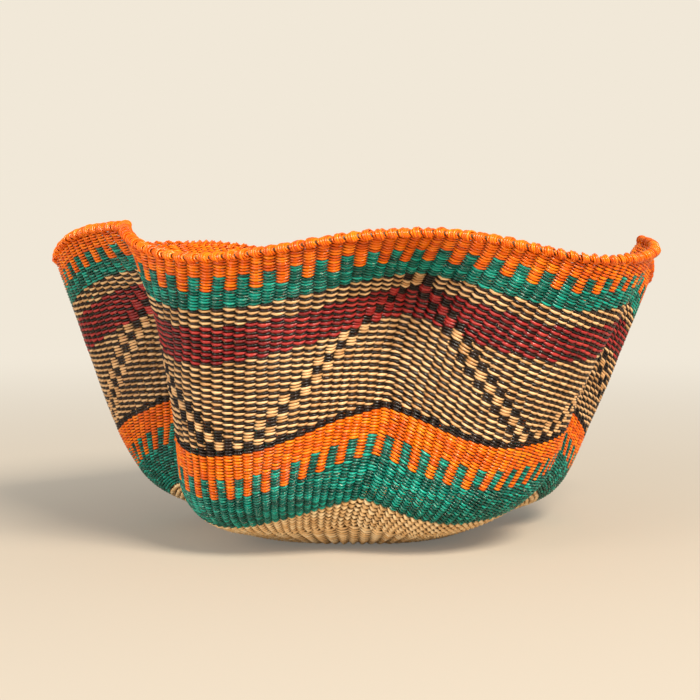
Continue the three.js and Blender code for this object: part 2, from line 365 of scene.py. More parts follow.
@dataclass(frozen=True)
class Pattern:
    """Which dye shows on the outside at each stake and row, rows counted down from the rim.

    From fold to fold the striped rows hold a zigzag of blocks, a few rows each. Its right leg
    starts at one fold's centre row and its left leg ends at the next one's. At the fold stands
    an undyed peak with a black flank on either side.
    """

    stripe_top: int = 17
    burgundy_top: int = 23
    burgundy_end: int = 35
    peak_rows: int = 5
    flank_rows: int = 3
    block_rows: int = 3
    zigzag_width: int = 31
    right_centre: int = 20
    left_centre: int = 21

    def light(self, rows: np.ndarray) -> np.ndarray:
        """The dye of a striped row's lighter strand."""
        is_burgundy = (rows >= self.burgundy_top) & (rows < self.burgundy_end)
        return np.where(is_burgundy, Dye.BURGUNDY, Dye.STRAW)

    def outside(self, node: str, row: int, columns: np.ndarray) -> np.ndarray:
        """Gives the dyes that show outside along one row.

        Args:
            node: The band's CAD node.
            row: The row, counted down from the rim.
            columns: The stakes that the row passes.

        Returns:
            A dye for each stake.
        """
        if node in PLAIN_BANDS:
            return np.full(len(columns), PLAIN_BANDS[node])
        if node.startswith("toothed"):
            return np.where(columns % 2 == 0, Dye.ORANGE, Dye.GREEN)
        return self._striped(row, columns)

    def inside(self, node: str, row: int, columns: np.ndarray) -> np.ndarray:
        """Gives the dyes that show inside, where the row's other strand passes.

        Args:
            node: The band's CAD node.
            row: The row, counted down from the rim.
            columns: The stakes that the row passes.

        Returns:
            A dye for each stake.
        """
        shown = self.outside(node, row, columns)
        if node in PLAIN_BANDS:
            return shown
        if node.startswith("toothed"):
            return np.where(shown == Dye.ORANGE, Dye.GREEN, Dye.ORANGE)
        return np.where(shown == Dye.BLACK, self.light(np.full(len(columns), row)), Dye.BLACK)

    def _striped(self, row: int, columns: np.ndarray) -> np.ndarray:
        """Gives a striped row with the stepped zigzag that runs from fold to fold.

        A row shows its dark and its light strand by turns. Each row starts one stake further on.

        Args:
            row: The row, counted down from the rim.
            columns: The stakes that the row passes.

        Returns:
            A dye for each stake.
        """
        light = self.light(np.full(len(columns), row))
        dyes = np.where((columns + row) % 2 == 1, light, Dye.BLACK)
        lobe = columns // STAKES_PER_LOBE
        start = STAKES_PER_LOBE * lobe + (lobe == LOBE_COUNT - 1)
        along = columns - start
        is_right = along <= self.zigzag_width // 2
        right = self.right_centre + self.block_rows * along
        left = self.left_centre + self.block_rows * (self.zigzag_width - along)
        centre = np.where(is_right, right, left)
        half_block = self.block_rows / 2
        block = np.floor((row - centre + half_block) / self.block_rows).astype(int)
        block_light = self.light(centre + self.block_rows * block)
        is_light = np.where(is_right, block == 0, np.abs(block) == 1)
        dyes = np.where(np.abs(block) <= 1, np.where(is_light, block_light, Dye.BLACK), dyes)
        below_top = row - self.stripe_top
        at_fold = columns % STAKES_PER_LOBE
        is_flank = (at_fold == 1) | (at_fold == STAKES_PER_LOBE - 1)
        if below_top < self.peak_rows:
            dyes = np.where(at_fold == 0, Dye.STRAW, dyes)
        elif below_top < self.peak_rows + self.block_rows:
            dyes = np.where(at_fold == 0, Dye.BLACK, dyes)
        if below_top < self.flank_rows:
            dyes = np.where(is_flank, Dye.BLACK, dyes)
        return dyes


@dataclass(frozen=True)
class Laid:
    """A mesh's data once it is laid on the wall.

    Points are in millimetres. Each face corner has a place on the strand map, and each face a
    tint and a dye. A lit level tells how far a point stands out of the gaps, from 0 to 1; the lower
    it is, the more painted shade of its gap colour it gets.
    """

    points: np.ndarray
    places: np.ndarray
    tints: np.ndarray
    lit_levels: np.ndarray
    dyes: np.ndarray

    @staticmethod
    def joined(parts: list["Laid"]) -> "Laid":
        """Joins the data of meshes that are joined in the same order."""
        names = ("points", "places", "tints", "lit_levels", "dyes")
        return Laid(*(np.concatenate([getattr(part, name) for part in parts]) for name in names))


class RingTube:
    """A closed tube spun once round, whose points are later laid along a row or a rim."""

    RING_RADIUS = 100.0

    def __init__(self, sections: int, sides: int) -> None:
        """Spins the tube and notes where each of its points lies.

        Args:
            sections: How many sections it has round the ring.
            sides: How many sides its section has.
        """
        self.sections = sections
        bm = bmesh.new()
        bmesh.ops.create_circle(bm, segments=sides, radius=1.0)
        upright = Matrix.Rotation(math.pi / 2, 3, "X")
        bmesh.ops.rotate(bm, verts=bm.verts, cent=(0, 0, 0), matrix=upright)
        bmesh.ops.translate(bm, verts=bm.verts, vec=(self.RING_RADIUS, 0, 0))
        bmesh.ops.spin(
            bm,
            geom=[*bm.verts, *bm.edges],
            cent=(0, 0, 0),
            axis=(0, 0, 1),
            angle=TURN,
            steps=sections,
            use_merge=True,
        )
        bmesh.ops.recalc_face_normals(bm, faces=bm.faces)
        self.mesh = bpy.data.meshes.new("ring_tube")
        bm.to_mesh(self.mesh)
        bm.free()
        at = read_points(self.mesh)
        turn = np.arctan2(at[:, 1], at[:, 0]) / TURN
        self.section = np.round(turn * sections).astype(int) % sections
        self.angle = np.arctan2(at[:, 2], np.hypot(at[:, 0], at[:, 1]) - self.RING_RADIUS)
        self._read_faces()

    def _read_faces(self) -> None:
        """Notes the first section of each face, and where each face corner lies on the tube."""
        corners = np.empty(len(self.mesh.loops), dtype=np.int32)
        self.mesh.loops.foreach_get("vertex_index", corners)
        section = self.section[corners].reshape(-1, 4)
        around = (self.angle[corners] / TURN % 1.0).reshape(-1, 4)
        wraps = section.max(axis=1, keepdims=True) - section.min(axis=1, keepdims=True) > 1
        section = np.where(wraps & (section == 0), self.sections, section)
        wraps = around.max(axis=1, keepdims=True) - around.min(axis=1, keepdims=True) > 0.5
        around = np.where(wraps & (around < 0.5), around + 1, around)
        self.face_section = section.min(axis=1)
        self.corner_section = section.ravel()
        self.corner_around = around.ravel()

    def laid(self, frames: tuple, out_by: np.ndarray, up_by: np.ndarray) -> np.ndarray:
        """Sets the tube's points off from the frames at its sections.

        Args:
            frames: The point, the way out, the way round and the way up at each section.
            out_by: How far each of the tube's points lies outwards.
            up_by: How far each of them lies up the stake.

        Returns:
            The points.
        """
        at, out, _, up = (part[self.section] for part in frames)
        return at + out * out_by[:, None] + up * up_by[:, None]


def read_points(mesh: bpy.types.Mesh) -> np.ndarray:
    """Reads a mesh's points.

    Args:
        mesh: The mesh.

    Returns:
        A row of x, y and z for each point.
    """
    flat = np.empty(len(mesh.vertices) * 3)
    mesh.vertices.foreach_get("co", flat)
    return flat.reshape(-1, 3)


@dataclass(frozen=True)
class GrassFinish:
    """Elephant grass, split and rolled damp into strands: satin and a little waxy.

    Flecks are pale lines, partly where the skin has cracked and partly painted glints where the
    wax shines; a higher level makes them rarer. The gap shade is painted shade: its colour is mixed
    in where a point's lit level is low, deep between the strands. The strand map counts stakes
    along a strand and turns round it, so that eight streaks round make fibres about half a
    millimetre wide. Their relief of 0.3 mm is coarser than real, so that it shows. Patches of
    the weave that took the dye alike are about 26 mm wide, 38 to the metre.
    """

    name: str
    base: str
    deep: str
    bright: str
    fleck_and_glint: str
    gap_shade: str
    fleck_and_glint_level: float = 0.66
    fleck_and_glint_edge: float = 0.04
    fleck_and_glint_strength: float = 0.9
    gap_shade_span: tuple = (0.04, 0.36)
    gap_shade_strength: float = 0.95
    roughness: float = 0.22
    refraction: float = 1.45
    sheen: float = 0.45
    streaks_round: float = 8.0
    streaks_along: float = 0.5
    fleck_and_glint_scales: tuple = (2.2, 1.6)
    fibre_strength: float = 0.6
    fibre_relief: float = 0.3
    stitch_share: float = 0.8
    patch_share: float = 0.5
    patches: float = 38.0
    tone_span: tuple = (0.5, 1.8)

    def material(self) -> bpy.types.Material:
        """Builds the material.

        Returns:
            The finished material.
        """
        material = bpy.data.materials.new(self.name)
        material.use_nodes = True
        tree = material.node_tree
        tree.nodes.clear()
        place = add_node(tree, "ShaderNodeUVMap", {"uv_map": "strand"}, {})
        along, round_ = self.streaks_along, self.streaks_round
        finer_along, finer_round = self.fleck_and_glint_scales
        fibre = self._streaks(tree, place, (along, round_, 1.0))
        fleck_and_glint_noise = self._streaks(tree, place, (finer_along * along, finer_round * round_, 1.0))
        ramp = add_node(tree, "ShaderNodeValToRGB", {}, {"Fac": self._tone(tree, fibre)})
        ramp.color_ramp.elements[0].color = linear_colour(self.deep)
        ramp.color_ramp.elements[1].color = linear_colour(self.bright)
        middle = ramp.color_ramp.elements.new(0.5)
        middle.color = linear_colour(self.base)
        lit_level = add_node(tree, "ShaderNodeAttribute", {"attribute_name": "lit_level"}, {})
        edge = self.fleck_and_glint_level + self.fleck_and_glint_edge
        low, high = self.gap_shade_span
        colour = ramp.outputs["Color"]
        # Pale flecks, partly cracked skin and partly painted glints, then painted shade of the gap
        # colour where the lit level is low.
        for code, source, spans in (
            (self.fleck_and_glint, fleck_and_glint_noise, (self.fleck_and_glint_level, edge, 0.0, self.fleck_and_glint_strength)),
            (self.gap_shade, lit_level.outputs["Fac"], (low, high, self.gap_shade_strength, 0.0)),
        ):
            names = ("From Min", "From Max", "To Min", "To Max")
            settings = dict(zip(names, spans))
            share = add_node(tree, "ShaderNodeMapRange", settings, {"Value": source})
            mix = add_node(
                tree,
                "ShaderNodeMix",
                {"data_type": "RGBA", 7: linear_colour(code)},
                {0: share.outputs["Result"], 6: colour},
            )
            colour = mix.outputs[2]
        relief = {"Strength": self.fibre_strength, "Distance": self.fibre_relief * METRES_PER_MM}
        bump = add_node(tree, "ShaderNodeBump", relief, {"Height": fibre})
        shader = add_node(
            tree,
            "ShaderNodeBsdfPrincipled",
            {"Roughness": self.roughness, "IOR": self.refraction, "Specular IOR Level": self.sheen},
            {"Base Color": colour, "Normal": bump.outputs["Normal"]},
        )
        add_node(tree, "ShaderNodeOutputMaterial", {}, {"Surface": shader.outputs["BSDF"]})
        return material

    def _streaks(
        self, tree: bpy.types.NodeTree, place: bpy.types.Node, scales: tuple
    ) -> bpy.types.NodeSocket:
        """Adds noise that is drawn out along the strand.

        Args:
            tree: The material's node tree.
            place: The strand map's node.
            scales: Waves for each stake along the strand, and for each turn round it.

        Returns:
            A socket from 0 to 1.
        """
        stretch = add_node(
            tree, "ShaderNodeMapping", {"Scale": scales}, {"Vector": place.outputs["UV"]}
        )
        noise = add_node(
            tree,
            "ShaderNodeTexNoise",
            {"Scale": 1.0, "Detail": 3.0, "Roughness": 0.65},
            {"Vector": stretch.outputs["Vector"]},
        )
        return noise.outputs["Fac"]

    def _tone(self, tree: bpy.types.NodeTree, fibre: bpy.types.NodeSocket) -> bpy.types.NodeSocket:
        """Sums what varies from stitch to stitch, fibre to fibre and patch to patch.

        Args:
            tree: The material's node tree.
            fibre: The fibres' noise.

        Returns:
            A socket from 0 to 1.
        """
        tint = add_node(tree, "ShaderNodeAttribute", {"attribute_name": "tint"}, {})
        where = add_node(tree, "ShaderNodeTexCoord", {}, {})
        patch = add_node(
            tree,
            "ShaderNodeTexNoise",
            {"Scale": self.patches, "Detail": 2.0},
            {"Vector": where.outputs["Object"]},
        )
        total = fibre
        for share, part in ((self.stitch_share, tint), (self.patch_share, patch)):
            add = add_node(
                tree,
                "ShaderNodeMath",
                {"operation": "MULTIPLY_ADD", 1: share},
                {0: part.outputs["Fac"], 2: total},
            )
            total = add.outputs["Value"]
        level = add_node(
            tree,
            "ShaderNodeMapRange",
            {"From Min": self.tone_span[0], "From Max": self.tone_span[1]},
            {"Value": total},
        )
        return level.outputs["Result"]


# Rolled grass dyed in a boiling bath takes the dye unevenly: no two stitches have one colour. Pale
# flecks are partly cracked skin and partly painted glints of the wax, and painted shade takes the
# gaps nearly to black.
FINISHES = {
    # Hot orange, the liveliest of the dyes, with painted brown shade in the gaps.
    Dye.ORANGE: GrassFinish(
        "orange_dyed_grass", "f26c00", "b83a00", "ff940c", "ffdcae", "481402", 0.66
    ),
    # Deep blue-green, with more pale flecks and painted glints than the other dyes.
    Dye.GREEN: GrassFinish(
        "green_dyed_grass", "006c5e", "002620", "12bca6", "e4f8e6", "000d0a", 0.635
    ),
    # Dark wine red, with painted near-black shade between its crests.
    Dye.BURGUNDY: GrassFinish(
        "burgundy_dyed_grass", "9c2628", "5a1212", "c4443c", "ecb49b", "200806", 0.67
    ),
    # A brownish black, with rare pale flecks, partly cracked skin and partly painted glints.
    Dye.BLACK: GrassFinish(
        "black_dyed_grass", "1c1411", "0c0807", "3a2a24", "8d7561", "050303", 0.68
    ),
    # Dry straw without dye, pale gold, with painted brown shade in the gaps.
    Dye.STRAW: GrassFinish("undyed_grass", "dcae7a", "a97844", "f2cb98", "ffe9cc", "42280f", 0.66),
}
# The base's straw is thicker, paler and creamier than that of the stripes.
BASE_FINISH = GrassFinish(
    "undyed_base_grass", "fad49c", "cc9c60", "ffeac0", "fff4e0", "543416", 0.65
)
# Split stakes, browner and darker than rolled straw, seen only in the gaps.
STAKE_FINISH = GrassFinish(
    "split_stake_grass", "8f6c3f", "5f4527", "b08c5c", "c9aa7a", "3a2816"
)


@dataclass(frozen=True)
class Twine:
    """How two strands twist round the stakes in one row of weft.

    A strand swings out from the wall's middle by its depth, and lies off the row's middle by its
    rise where the two cross; its section is smaller there. Hug is how much longer than a plain
    wave it stays outside, lag how far, in radians, the swing trails behind the stakes, uneven and
    wander are the spreads of its girth and height, and edge shade is how much painted shade its
    upper and lower edges get, where they meet the next row. The section shares tell where its
    sections lie between one crossing and the next.
    """

    depth: float = 1.85
    rise: float = 0.6
    thickness: float = 2.0
    height: float = 2.2
    crossing_thickness: float = 1.8
    crossing_height: float = 1.65
    hug: float = -0.2
    lag: float = 0.27
    uneven: float = 0.1
    wander: float = 0.14
    edge_shade: float = 0.55
    section_shares: tuple = (0.0, 0.27, 0.5, 0.73)
    sides: int = 5


# The undyed grass of the base is coarser, and twined less tightly, than that of the wall.
BASE_TWINE = Twine(
    depth=1.6,
    rise=0.55,
    thickness=2.9,
    height=1.95,
    crossing_thickness=1.9,
    crossing_height=1.3,
    edge_shade=0.6,
)


@dataclass(frozen=True)
class RowPlan:
    """One row of weft.

    It has the arc length of its middle, its height, its count of stakes, a phase of 0 or 1 for
    which strand passes the first stake outside, and the dyes on both sides.
    """

    arc: float
    pitch: float
    columns: int
    phase: int
    outside: np.ndarray
    inside: np.ndarray


@dataclass(frozen=True)
class Wave:
    """A slow wave of the hand: its size, how many there are in a turn, its length up a stake."""

    size: float
    count: int
    arc: float

    def read(self, columns: np.ndarray, arc: float) -> np.ndarray:
        """Reads the wave at an arc length, for many columns at once."""
        return self.size * np.sin(TURN * (columns * self.count / STAKE_COUNT + arc / self.arc))


@dataclass
class Weaver:
    """Lays twined rows on the wall and makes a piece of each strand.

    Girths are the strands' thicknesses in the order of the dyes, as shares of the usual one.
    Sways are how far the stakes lean aside by hand, in columns, and sags how far rows were
    beaten down unevenly, in millimetres. The fibres' map moves on by the strand shift in each
    millimetre of arc length, and round the strand by the fibre twist in each stitch.
    """

    wall: Wall
    twine: Twine
    materials: dict[Dye, bpy.types.Material]
    girths: tuple = (1.0, 1.0, 1.25, 0.88, 1.05)
    sways: tuple = (Wave(0.09, 9, 83), Wave(0.05, 23, -41))
    sags: tuple = (Wave(0.35, 13, 120), Wave(0.2, 31, -57))
    strand_shift: float = 3.7
    fibre_twist: float = 0.31
    tubes: dict[int, RingTube] = field(default_factory=dict)
    spread_limit: float = 2.0
    random: np.random.Generator = field(default_factory=lambda: np.random.default_rng(SEED))

    def tube(self, columns: int) -> RingTube:
        """Gives the spun tube for a row.

        Args:
            columns: How many stakes the row passes.

        Returns:
            The tube, which is spun once for each count.
        """
        if columns not in self.tubes:
            parts = len(self.twine.section_shares)
            self.tubes[columns] = RingTube(columns * parts, self.twine.sides)
        return self.tubes[columns]

    def scatter(self, count: int, size: float) -> np.ndarray:
        """Draws that many chances of a size, none of them far out."""
        limit = self.spread_limit
        return size * self.random.standard_normal(count).clip(-limit, limit)

    def strand(self, name: str, rows: list[RowPlan], strand: int) -> bpy.types.Object:
        """Makes one strand of several rows into one piece.

        Args:
            name: The piece's name.
            rows: The rows that it runs through.
            strand: 0 or 1, the first or the second strand of each row.

        Returns:
            The finished piece.
        """
        bm = bmesh.new()
        parts = []
        for row in rows:
            tube = self.tube(row.columns)
            bm.from_mesh(tube.mesh)
            parts.append(self._lay(tube, row, strand))
        laid = Laid.joined(parts)
        used = sorted(set(laid.dyes))
        piece = make_piece(name, bm, laid, [self.materials[Dye(dye)] for dye in used])
        slots = np.searchsorted(used, laid.dyes).astype(np.int32)
        piece.data.polygons.foreach_set("material_index", slots)
        return piece

    def _lay(self, tube: RingTube, row: RowPlan, strand: int) -> Laid:
        """Lays one strand of one row along the wall.

        Args:
            tube: The spun tube of the row's stake count.
            row: The row's plan.
            strand: 0 or 1.

        Returns:
            The data of the laid tube.
        """
        twine = self.twine
        parts = len(twine.section_shares)
        section = np.arange(tube.sections)
        along = section // parts + np.array(twine.section_shares)[section % parts]
        turn = along + strand + row.phase
        swing = math.pi * turn - twine.hug / 2 * np.sin(TURN * turn)
        is_out = (np.arange(row.columns) + strand + row.phase) % 2 == 0
        dyes = np.where(is_out, row.outside, row.inside)
        girths = np.array(self.girths)[dyes] * (1 + self.scatter(row.columns, twine.uneven))
        girth = read_ring(girths, along)
        drift = read_ring(self.scatter(row.columns, twine.wander), along)
        columns = along * STAKE_COUNT / row.columns
        swayed = columns + sum(wave.read(columns, row.arc) for wave in self.sways)
        sagged = sum((wave.read(columns, row.arc) for wave in self.sags), start=row.arc)
        frames = self.wall.frames(swayed, sagged)
        crossing = np.sin(swing) ** 2
        thinner = (twine.crossing_thickness - twine.thickness) * crossing
        lower = (twine.crossing_height - twine.height) * crossing
        thickness = girth**0.5 / 2 * (twine.thickness + thinner)
        height = girth / 2 * (twine.height + lower)
        depth = twine.depth * np.cos(swing - twine.lag)
        slant = np.arcsin(np.sin(swing)) / math.pi * 2
        rise = -twine.rise * slant + drift * np.abs(np.cos(swing))
        stretch = row.pitch / self.wall.shape.row_height
        spot = tube.section
        offset_out = depth[spot] + thickness[spot] * np.cos(tube.angle)
        offset_up = stretch * (rise[spot] + height[spot] * np.sin(tube.angle))
        face_stake = (tube.face_section + parts // 2) // parts % row.columns
        tints = self.random.random(row.columns)[face_stake]
        strides = tube.corner_section / parts + self.strand_shift * row.arc
        around = tube.corner_around + self.fibre_twist * tube.corner_section / parts
        # Painted shade: points near the wall's middle, between the strands, and a strand's upper
        # and lower edges get a low lit level, so the gap colour darkens them.
        lit_levels = np.abs(offset_out) / (twine.depth + twine.thickness / 2)
        return Laid(
            points=tube.laid(frames, offset_out, offset_up),
            places=np.stack([strides, around], axis=1),
            tints=tints,
            lit_levels=lit_levels * (1 - twine.edge_shade * np.abs(np.sin(tube.angle))),
            dyes=dyes[face_stake],
        )


def dress_mesh(mesh: bpy.types.Mesh, laid: Laid) -> None:
    """Gives a mesh its points, its strand map, its tints and smooth faces.

    Args:
        mesh: The mesh to change.
        laid: Where its points lie, and what its faces carry.
    """
    mesh.vertices.foreach_set("co", (laid.points * METRES_PER_MM).ravel())
    layer = mesh.uv_layers.new(name="strand")
    layer.data.foreach_set("uv", laid.places.astype(np.float32).ravel())
    tint = mesh.attributes.new("tint", "FLOAT", "FACE")
    tint.data.foreach_set("value", laid.tints.astype(np.float32))
    # The lit level, which sets how much painted shade of the gap colour each point gets.
    lit_level = mesh.attributes.new("lit_level", "FLOAT", "POINT")
    lit_level.data.foreach_set("value", laid.lit_levels.astype(np.float32))
    mesh.polygons.foreach_set("use_smooth", np.ones(len(mesh.polygons), dtype=bool))
    mesh.update()


def add_object(name: str, mesh: bpy.types.Mesh) -> bpy.types.Object:
    """Puts a mesh into the scene as an object at the origin.

    Args:
        name: The object's name.
        mesh: Its mesh.

    Returns:
        The new object.
    """
    piece = bpy.data.objects.new(name, mesh)
    bpy.context.scene.collection.objects.link(piece)
    return piece


def make_piece(
    name: str, bm: bmesh.types.BMesh, laid: Laid, materials: list[bpy.types.Material]
) -> bpy.types.Object:
    """Turns gathered tubes or rods into one dressed piece.

    Args:
        name: The piece's name.
        bm: The gathered shapes, which are freed.
        laid: Where their points lie, and what their faces carry.
        materials: The piece's materials.

    Returns:
        The finished piece.
    """
    mesh = bpy.data.meshes.new(name)
    bm.to_mesh(mesh)
    bm.free()
    for material in materials:
        mesh.materials.append(material)
    dress_mesh(mesh, laid)
    return add_object(name, mesh)


def fit_piece(piece: bpy.types.Object, slot: str, *nodes: str) -> None:
    """Fixes a finished piece to the frame and reports it.

    Args:
        piece: The finished piece.
        slot: The record's material slot; not used.
        nodes: The CAD nodes that it stands for.
    """
    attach(piece, BODY)
    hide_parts(*nodes)
    LOG.info("%s: %d faces, for %s", piece.name, len(piece.data.polygons), ", ".join(nodes))


@dataclass(frozen=True)
class DyedWall:
    """The twined wall above the straw foot, one pair of strands for each band."""

    weaver: Weaver
    pattern: Pattern

    def rows(self, band: Band, first: int, top_arc: float) -> list[RowPlan]:
        """Plans the rows of one band.

        Args:
            band: The band.
            first: Its first row, counted down from the rim.
            top_arc: The arc length of its upper edge.

        Returns:
            The rows, from the top down.
        """
        pitch = band.solid_rows * self.weaver.wall.shape.row_height / band.rows
        columns = np.arange(STAKE_COUNT)
        plans = []
        for i in range(band.rows):
            row = first + i
            outside = self.pattern.outside(band.node, row, columns)
            inside = self.pattern.inside(band.node, row, columns)
            arc = top_arc - (i + 0.5) * pitch
            plans.append(RowPlan(arc, pitch, STAKE_COUNT, row % 2, outside, inside))
        return plans

    def build(self) -> None:
        """Builds every band from the rim down."""
        shape = self.weaver.wall.shape
        top_arc = shape.stake_length
        first = 0
        for band in BANDS:
            plans = self.rows(band, first, top_arc)
            for strand, letter in enumerate(STRAND_LETTERS):
                piece = self.weaver.strand(f"{band.node}_strand_{letter}", plans, strand)
                fit_piece(piece, band.slot, band.node)
            first += band.rows
            top_arc -= band.solid_rows * shape.row_height


@dataclass(frozen=True)
class BaseZone:
    """A ring of the straw base between two arc lengths, with its count of stakes."""

    name: str
    nodes: tuple
    start: float
    end: float
    columns: int


@dataclass(frozen=True)
class StrawBase:
    """The undyed base, twined over stakes that double in number three times on the way out."""

    weaver: Weaver
    row_pitch: float = 4.0
    zones: tuple = (
        BaseZone("base_crossing_weave", ("base_crossing",), 8.0, 24.0, 20),
        BaseZone("base_inner_weave", ("base_straw_weft",), 24.0, 45.0, 40),
        BaseZone(
            "base_middle_weave", ("base_straw_weft", "foot_lower_straw_weft"), 45.0, 116.0, 80
        ),
        BaseZone("base_outer_weave", ("foot_upper_straw_weft",), 116.0, 144.5, 160),
    )

    def build(self) -> None:
        """Builds the zones from the crossing outwards."""
        for zone in self.zones:
            count = round((zone.end - zone.start) / self.row_pitch)
            straw = np.full(zone.columns, Dye.STRAW)
            pitch = (zone.end - zone.start) / count
            plans = [
                RowPlan(zone.start + (i + 0.5) * pitch, pitch, zone.columns, i % 2, straw, straw)
                for i in range(count)
            ]
            for strand, letter in enumerate(STRAND_LETTERS):
                piece = self.weaver.strand(f"{zone.name}_{letter}", plans, strand)
                fit_piece(piece, "straw", *zone.nodes)


@dataclass(frozen=True)
class Stakes:
    """The ribs of split grass that the weft is twined over.

    A group is the stakes that one CAD stake stands for. Starts are the arc lengths at which every
    eighth, fourth, second and last stake is laid in.
    """

    wall: Wall
    material: bpy.types.Material
    width: float = 3.4
    thickness: float = 2.0
    sides: int = 6
    section_step: float = 5.4
    group_size: int = 8
    tint: float = 0.4
    # Painted shade: a low lit level, so that the gap colour darkens the stakes nearly all over.
    lit_level: float = 0.1
    starts: tuple = ((8, 6.0), (4, 22.0), (2, 43.0), (1, 115.0))

    def start_of(self, column: int) -> float:
        """The arc length at which a stake is laid in."""
        return next(start for every, start in self.starts if column % every == 0)

    def template(self, sections: int) -> bpy.types.Mesh:
        """Makes a straight closed rod of unit radius.

        Args:
            sections: How many sections it has, one at each whole height.

        Returns:
            The rod's mesh.
        """
        bm = bmesh.new()
        bmesh.ops.create_circle(bm, segments=self.sides, radius=1.0)
        bmesh.ops.spin(
            bm,
            geom=[*bm.verts, *bm.edges],
            cent=(0, 0, 0),
            axis=(0, 0, 1),
            dvec=(0, 0, 1),
            angle=0.0,
            steps=sections,
        )
        bmesh.ops.holes_fill(bm, edges=[edge for edge in bm.edges if edge.is_boundary])
        bmesh.ops.recalc_face_normals(bm, faces=bm.faces)
        mesh = bpy.data.meshes.new("rod")
        bm.to_mesh(mesh)
        bm.free()
        return mesh

    def group(self, number: int) -> bpy.types.Object:
        """Makes the stakes beside one CAD stake into one piece.

        Args:
            number: The group's number from 0.

        Returns:
            The finished piece.
        """
        bm = bmesh.new()
        parts = []
        end = self.wall.shape.stake_length
        for column in range(number * self.group_size, (number + 1) * self.group_size):
            start = self.start_of(column)
            sections = round((end - start) / self.section_step)
            rod = self.template(sections)
            bm.from_mesh(rod)
            local = read_points(rod)
            arcs = start + (end - start) * local[:, 2] / sections
            at, out, round_, _ = self.wall.frames(np.full(len(local), float(column)), arcs)
            across = local[:, :1] * self.width / 2
            deep = -local[:, 1:2] * self.thickness / 2
            faces = np.zeros(len(rod.polygons))
            laid = Laid(
                points=at + round_ * across + out * deep,
                places=np.zeros((len(rod.loops), 2)),
                tints=faces + self.tint,
                lit_levels=np.full(len(local), self.lit_level),
                dyes=faces,
            )
            parts.append(laid)
            bpy.data.meshes.remove(rod)
        return make_piece(f"stake_group_{number + 1:02d}", bm, Laid.joined(parts), [self.material])

    def build(self) -> None:
        """Builds a group for each CAD stake."""
        for number in range(STAKE_COUNT // self.group_size):
            fit_piece(self.group(number), "undyed_stake", f"stake_{number + 1:02d}")


